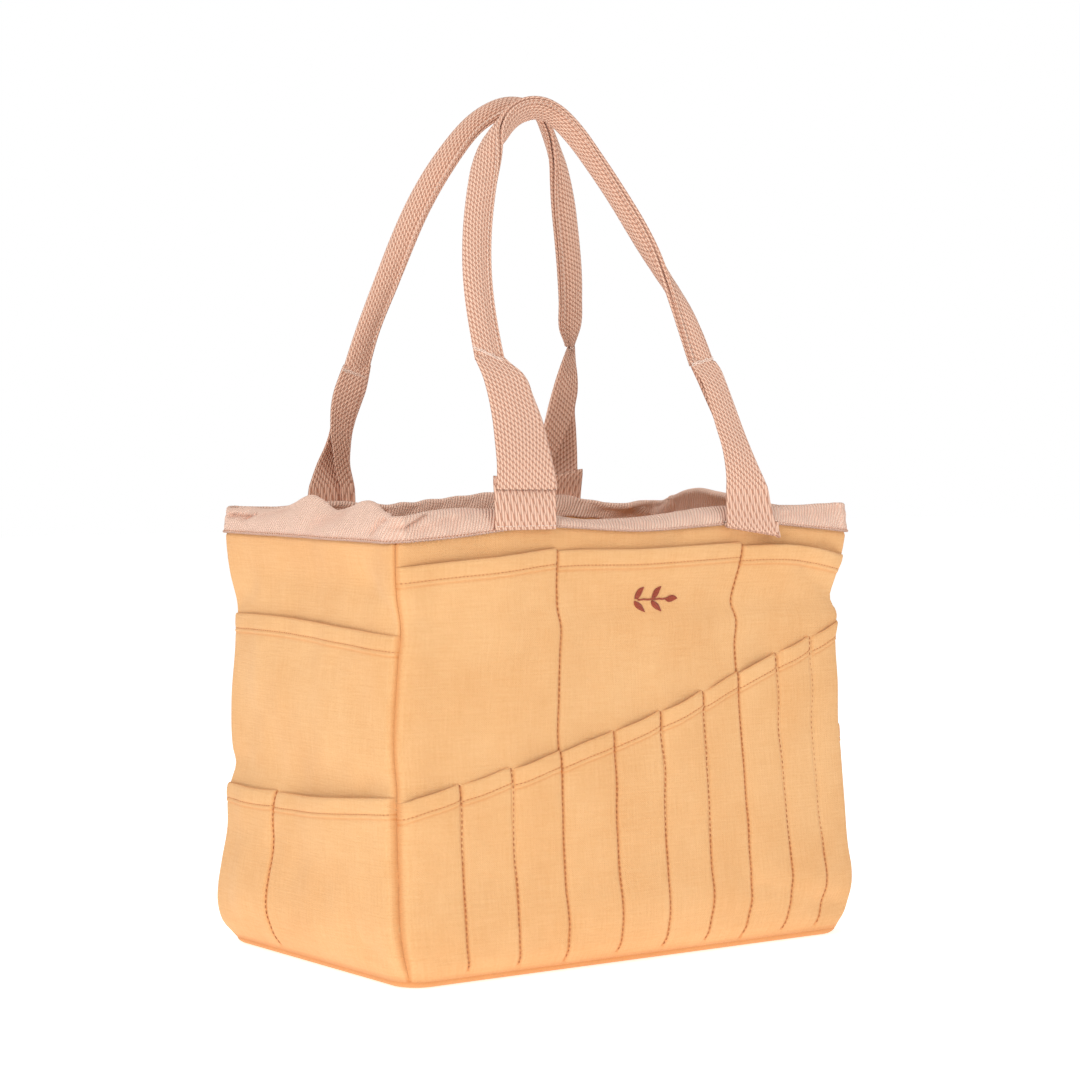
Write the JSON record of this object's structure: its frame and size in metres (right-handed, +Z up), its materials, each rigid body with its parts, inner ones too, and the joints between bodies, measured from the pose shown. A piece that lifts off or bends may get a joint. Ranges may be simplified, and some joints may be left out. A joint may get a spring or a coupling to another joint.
{
  "type": "garden tool bag",
  "caption": "Open-topped canvas tool tote on a stiffened base, with two tiers of slim tool pockets on every side and a pair of folded webbing handles.",
  "frame": {"origin": "middle of the base's underside, on the surface that the bag stands on", "axes": "+X along the length, towards the high end of the slanted front pocket; -Y out of the front; +Z up"},
  "size_m": [0.3092, 0.1912, 0.4593],
  "materials": {
    "canvas": "apricot cotton canvas, plain weave, matt",
    "tape": "dusty pink twill tape, matt",
    "webbing": "dusty pink cotton webbing, chunky weave",
    "embroidery_thread": "rust satin-stitch thread with a soft sheen",
    "tack_thread": "pale pink sewing thread",
    "stitch_thread": "terracotta sewing thread",
    "board": "grey fibreboard, matt"
  },
  "bodies": {
    "bag": {"front_panel": "canvas", "back_panel": "canvas", "left_panel": "canvas", "right_panel": "canvas", "base_panel": "canvas", "base_board": "board", "base_lining": "canvas", "rim_tape": "tape", "front_upper_pocket": "canvas", "front_upper_seams": "canvas", "front_lower_pocket": "canvas", "front_lower_seams": "canvas", "back_upper_pocket": "canvas", "back_upper_seams": "canvas", "back_lower_pocket": "canvas", "back_lower_seams": "canvas", "left_upper_pocket": "canvas", "left_upper_seams": "canvas", "left_lower_pocket": "canvas", "left_lower_seams": "canvas", "right_upper_pocket": "canvas", "right_upper_seams": "canvas", "right_lower_pocket": "canvas", "right_lower_seams": "canvas", "embroidered_sprig": "embroidery_thread", "front_strap_ends": "webbing", "back_strap_ends": "webbing"},
    "front_strap": {"front_handle": "webbing", "front_handle_tacks": "tack_thread"},
    "back_strap": {"back_handle": "webbing", "back_handle_tacks": "tack_thread"}
  },
  "joints": [
    {"name": "front_handle_swing", "type": "hinge", "parent": "bag", "child": "front_strap", "pos_m": [0, -0.0877, 0.23015], "axis": [1, 0, 0], "range_deg": [0, 160]},
    {"name": "back_handle_swing", "type": "hinge", "parent": "bag", "child": "back_strap", "pos_m": [0, 0.0877, 0.23015], "axis": [-1, 0, 0], "range_deg": [0, 160]}
  ]
}
